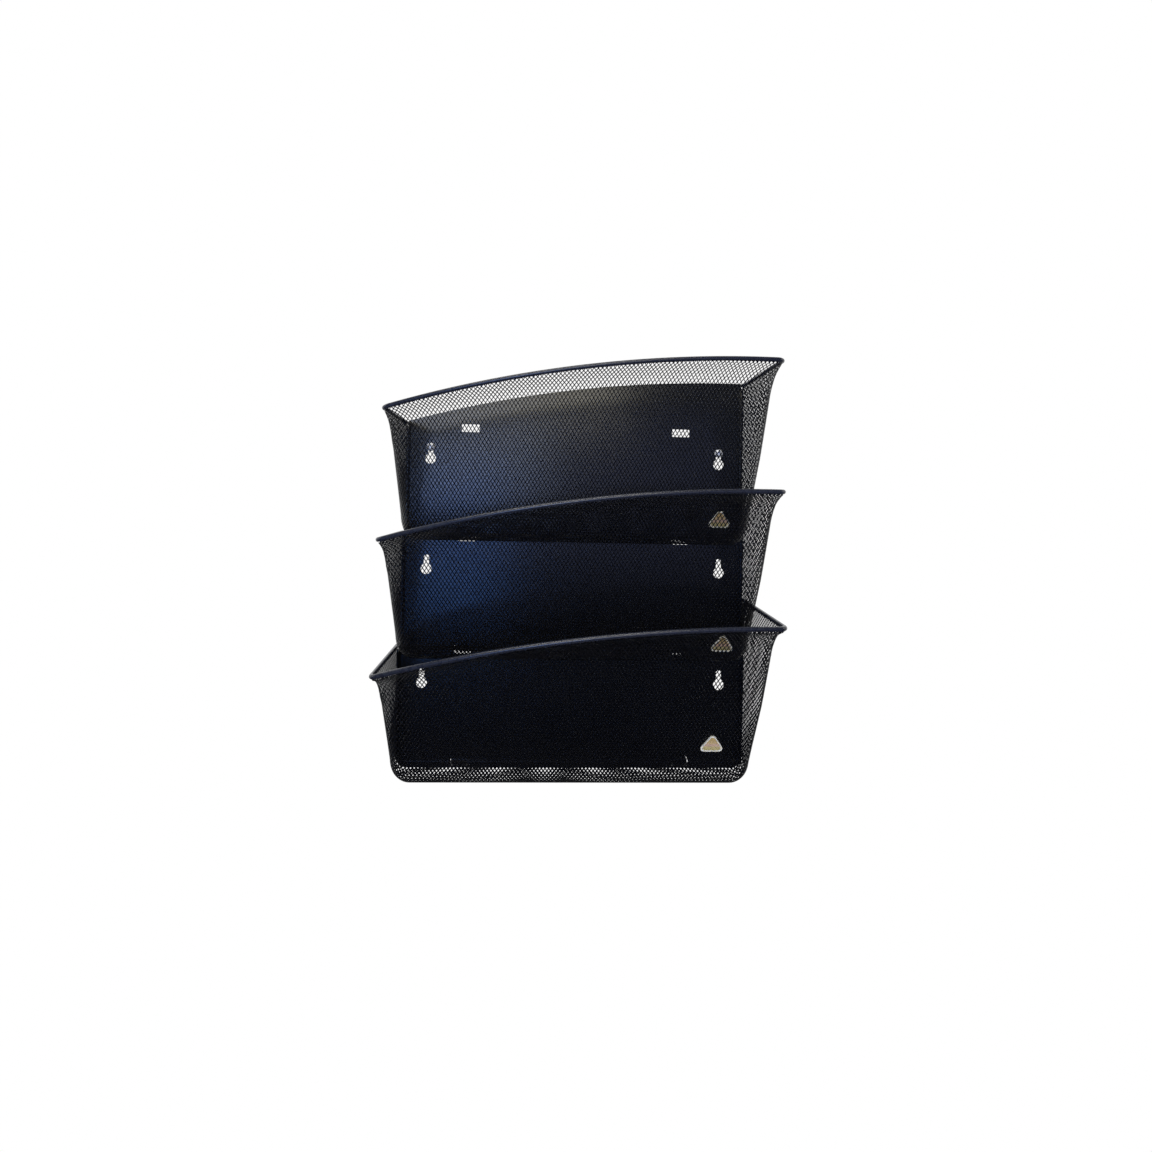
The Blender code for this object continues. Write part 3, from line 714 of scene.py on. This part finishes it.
def make_badges():
    full = badge_outline(20.0, 17.0, 3.2)
    scaled = lambda k: full * np.array([k, k]) + np.array([0.0, -0.0])
    for name, face_y, base_z in TRAYS:
        x, z = BADGES[name]
        place = badge_frame(x, z, GAP, face_y, base_z)
        border = rings_mesh(
            f"{name}_badge_border",
            [
                (scaled(0.985), 0.0),
                (scaled(1.0), 0.25),
                (scaled(1.0), 1.05),
                (scaled(0.975), 1.42),
                (scaled(0.94), 1.6),
                (scaled(0.885), 1.6),
                (scaled(0.85), 1.5),
                (scaled(0.83), 1.15),
            ],
            place,
        )
        dress(border, BORDER)
        face = rings_mesh(
            f"{name}_badge_face",
            [(scaled(0.828), 1.151), (scaled(0.80), 1.30), (scaled(0.72), 1.38), (scaled(0.45), 1.46), (scaled(0.2), 1.49)],
            place,
        )
        dress(face, ENAMEL)
        for obj in (border, face):
            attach(obj, name + "_tray")
            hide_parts(name + "_badge")


# ------------------------------------------------------------ carried-over CAD
def dress_cad():
    for node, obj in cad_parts.items():
        if node.endswith("back_panel"):
            dress(obj, PANEL)
            obj.data.shade_smooth()
            obj.data.set_sharp_from_angle(angle=math.radians(30))
        elif node.endswith("wall_screw"):
            dress(obj, ZINC)
            obj.data.shade_smooth()
            obj.data.set_sharp_from_angle(angle=math.radians(30))
        elif node.endswith("wall_plug"):
            dress(obj, PLUG)
            obj.data.shade_smooth()
            obj.data.set_sharp_from_angle(angle=math.radians(40))
        elif node.endswith("badge_clip"):
            dress(obj, STEEL)


# ------------------------------------------------------------- stage and light
def make_stage():
    verts = [(-6, -6, -0.9), (6, -6, -0.9), (6, 6, -0.9), (-6, 6, -0.9)]
    floor = object_from("studio_floor", verts, [(0, 1, 2, 3)])
    mat, tree, shader = new_material("studio_floor")
    shader.inputs["Base Color"].default_value = (0.93, 0.93, 0.93, 1.0)
    shader.inputs["Roughness"].default_value = 0.9
    pale = tree.nodes.new("ShaderNodeEmission")
    pale.inputs["Strength"].default_value = 1.0
    path = tree.nodes.new("ShaderNodeLightPath")
    mix = tree.nodes.new("ShaderNodeMixShader")
    tree.links.new(path.outputs["Is Camera Ray"], mix.inputs["Fac"])
    tree.links.new(shader.outputs["BSDF"], mix.inputs[1])
    tree.links.new(pale.outputs["Emission"], mix.inputs[2])
    tree.links.new(mix.outputs["Shader"], tree.nodes["Material Output"].inputs["Surface"])
    dress(floor, mat)
    floor.visible_glossy = False

    world = bpy.data.worlds.new("studio")
    bpy.context.scene.world = world
    world.use_nodes = True
    tree = world.node_tree
    tree.nodes.clear()
    out = tree.nodes.new("ShaderNodeOutputWorld")
    coord = tree.nodes.new("ShaderNodeTexCoord")
    split = tree.nodes.new("ShaderNodeSeparateXYZ")
    tree.links.new(coord.outputs["Generated"], split.inputs["Vector"])
    ahead = tree.nodes.new("ShaderNodeMapRange")
    ahead.inputs["From Min"].default_value = -0.1
    ahead.inputs["From Max"].default_value = 0.35
    ahead.inputs["To Min"].default_value = 0.02
    ahead.inputs["To Max"].default_value = 1.15
    tree.links.new(split.outputs["Y"], ahead.inputs["Value"])
    lit = tree.nodes.new("ShaderNodeBackground")
    lit.inputs["Color"].default_value = (1.0, 1.0, 1.0, 1.0)
    low = tree.nodes.new("ShaderNodeMapRange")
    low.inputs["From Min"].default_value = -0.6
    low.inputs["From Max"].default_value = -0.1
    low.inputs["To Min"].default_value = 0.05
    low.inputs["To Max"].default_value = 1.0
    tree.links.new(split.outputs["Z"], low.inputs["Value"])
    product = tree.nodes.new("ShaderNodeMath")
    product.operation = "MULTIPLY"
    tree.links.new(ahead.outputs["Result"], product.inputs[0])
    tree.links.new(low.outputs["Result"], product.inputs[1])
    tree.links.new(product.outputs["Value"], lit.inputs["Strength"])
    white = tree.nodes.new("ShaderNodeBackground")
    white.inputs["Color"].default_value = (1.0, 1.0, 1.0, 1.0)
    white.inputs["Strength"].default_value = 1.0
    path = tree.nodes.new("ShaderNodeLightPath")
    mix = tree.nodes.new("ShaderNodeMixShader")
    tree.links.new(path.outputs["Is Camera Ray"], mix.inputs["Fac"])
    tree.links.new(lit.outputs["Background"], mix.inputs[1])
    tree.links.new(white.outputs["Background"], mix.inputs[2])
    tree.links.new(mix.outputs["Shader"], out.inputs["Surface"])


def area(name, location, target, size, power, colour=(1.0, 1.0, 1.0)):
    data = bpy.data.lights.new(name, "AREA")
    data.shape = "RECTANGLE"
    data.size, data.size_y = size
    data.energy = power
    data.color = colour
    obj = bpy.data.objects.new(name, data)
    bpy.context.scene.collection.objects.link(obj)
    obj.location = location
    obj.rotation_euler = (Vector(target) - Vector(location)).to_track_quat("-Z", "Y").to_euler()
    return obj


def make_lights():
    area("overhead_key", (-0.4, -1.0, 1.9), (0.0, 0.0, -0.1), (1.7, 0.3), 26.0, (1.0, 0.98, 0.94))
    area("warm_card", (-0.22, -2.3, 0.60), (-0.22, 0.0, 0.60), (1.1, 0.66), 12.2, (1.0, 0.95, 0.78))
    area("blue_card", (-0.52, -2.3, -0.32), (-0.52, 0.0, -0.32), (0.5, 0.85), 8.0, (0.12, 0.33, 1.0))
    area("grey_card", (-0.45, -2.35, 0.12), (-0.45, 0.0, 0.12), (0.80, 0.42), 5.8, (0.62, 0.74, 1.0))
    area("broad_card", (0.1, -2.4, -0.03), (0.1, 0.0, -0.03), (1.8, 0.8), 6.2, (0.45, 0.52, 0.95))
    area("right_fill", (1.9, -0.5, 0.4), (0.0, 0.0, -0.1), (0.7, 1.4), 5.0)
    area("left_fill", (-1.9, -0.4, 0.5), (0.0, 0.0, -0.1), (0.7, 1.4), 5.0, (0.92, 0.96, 1.0))


# --------------------------------------------------------------------- camera
def make_camera():
    cx, cz, dist = -24.6528, 47.0372, math.exp(6.3561)
    yaw, pitch, roll = -0.0374, 0.0896, 0.0206
    focal, px, py = math.exp(6.3151), 573.33, 439.79
    cy, sy, cp, sp, cr, sr = math.cos(yaw), math.sin(yaw), math.cos(pitch), math.sin(pitch), math.cos(roll), math.sin(roll)
    across, ahead, rise = Vector((cy, sy, 0.0)), Vector((-sy, cy, 0.0)), Vector((0.0, 0.0, 1.0))
    forward = cp * ahead + sp * rise
    z2 = -sp * ahead + cp * rise
    right = cr * across + sr * z2
    up = -sr * across + cr * z2
    data = bpy.data.cameras.new("view")
    data.sensor_fit = "HORIZONTAL"
    data.sensor_width = 36.0
    data.lens = focal / 1152.0 * 36.0
    data.shift_x = (576.0 - px) / 1152.0
    data.shift_y = (py - 576.0) / 1152.0
    data.clip_start = 0.01
    obj = bpy.data.objects.new("view", data)
    bpy.context.scene.collection.objects.link(obj)
    turn = Matrix((right, up, -forward)).transposed().to_4x4()
    turn.translation = Vector((cx, -dist - 4.1, cz - SCREW_Z)) * MM
    obj.matrix_world = turn
    bpy.context.scene.camera = obj
    bpy.context.scene.view_settings.view_transform = "Standard"


make_baskets()
make_seams()
make_rims()
make_badges()
dress_cad()
make_stage()
make_lights()
make_camera()
